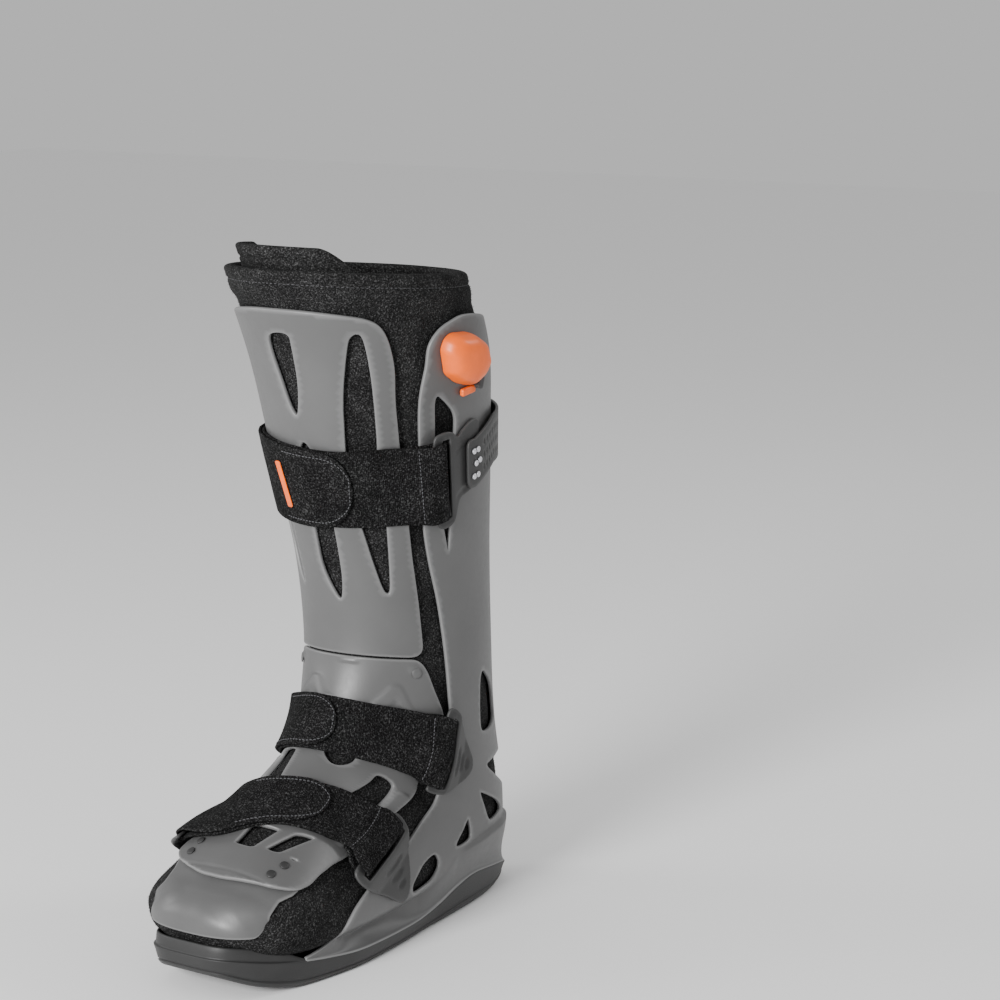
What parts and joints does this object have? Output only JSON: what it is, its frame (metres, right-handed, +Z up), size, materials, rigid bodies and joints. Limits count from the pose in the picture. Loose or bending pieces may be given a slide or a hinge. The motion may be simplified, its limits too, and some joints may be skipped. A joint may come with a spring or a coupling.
{
  "type": "medical walking boot",
  "caption": "Tall orthopaedic walking boot in grey plastic over a black padded liner, with three wrap-over straps, an orange hand pump and a rocker sole.",
  "frame": {"origin": "on the floor under the ankle's middle, where the flat of the sole rests", "axes": "+Z up the leg, toe along -Y, inner side of the leg along +X"},
  "size_m": [0.1572, 0.309, 0.4362],
  "materials": {
    "shell_plastic": "satin moulded grey",
    "sole_rubber": "dark grey rubber, matt",
    "fitting_rubber": "dark grey soft moulding, matt",
    "liner_plush": "black brushed loop fabric over foam",
    "strap_webbing": "black loop-faced strap",
    "stud_metal": "pale satin",
    "orange_plastic": "soft orange moulding"
  },
  "bodies": {
    "root": {"ankle_buckle_inner": "fitting_rubber", "ankle_buckle_outer": "fitting_rubber", "ankle_strap": "strap_webbing", "band_stud_inner_1": "stud_metal", "band_stud_inner_2": "stud_metal", "band_stud_inner_3": "stud_metal", "band_stud_inner_4": "stud_metal", "band_stud_inner_5": "stud_metal", "band_stud_inner_6": "stud_metal", "band_stud_outer_1": "stud_metal", "band_stud_outer_2": "stud_metal", "band_stud_outer_3": "stud_metal", "band_stud_outer_4": "stud_metal", "band_stud_outer_5": "stud_metal", "band_stud_outer_6": "stud_metal", "base_shell": "shell_plastic", "calf_buckle_inner": "fitting_rubber", "calf_buckle_outer": "fitting_rubber", "calf_strap": "strap_webbing", "forefoot_buckle_inner": "fitting_rubber", "forefoot_buckle_outer": "fitting_rubber", "forefoot_strap": "strap_webbing", "instep_shell": "shell_plastic", "liner": "liner_plush", "liner_flap": "liner_plush", "liner_foot": "liner_plush", "outsole": "sole_rubber", "pump_bulb": "orange_plastic", "pump_hook": "orange_plastic", "pump_valve": "fitting_rubber", "rear_band": "fitting_rubber", "rivet_inner": "shell_plastic", "rivet_outer": "shell_plastic", "shin_shell": "shell_plastic", "strap_label": "orange_plastic", "toe_cap": "shell_plastic", "toe_stud_inner_1": "fitting_rubber", "toe_stud_inner_2": "fitting_rubber", "toe_stud_outer_1": "fitting_rubber", "toe_stud_outer_2": "fitting_rubber"}
  },
  "joints": []
}
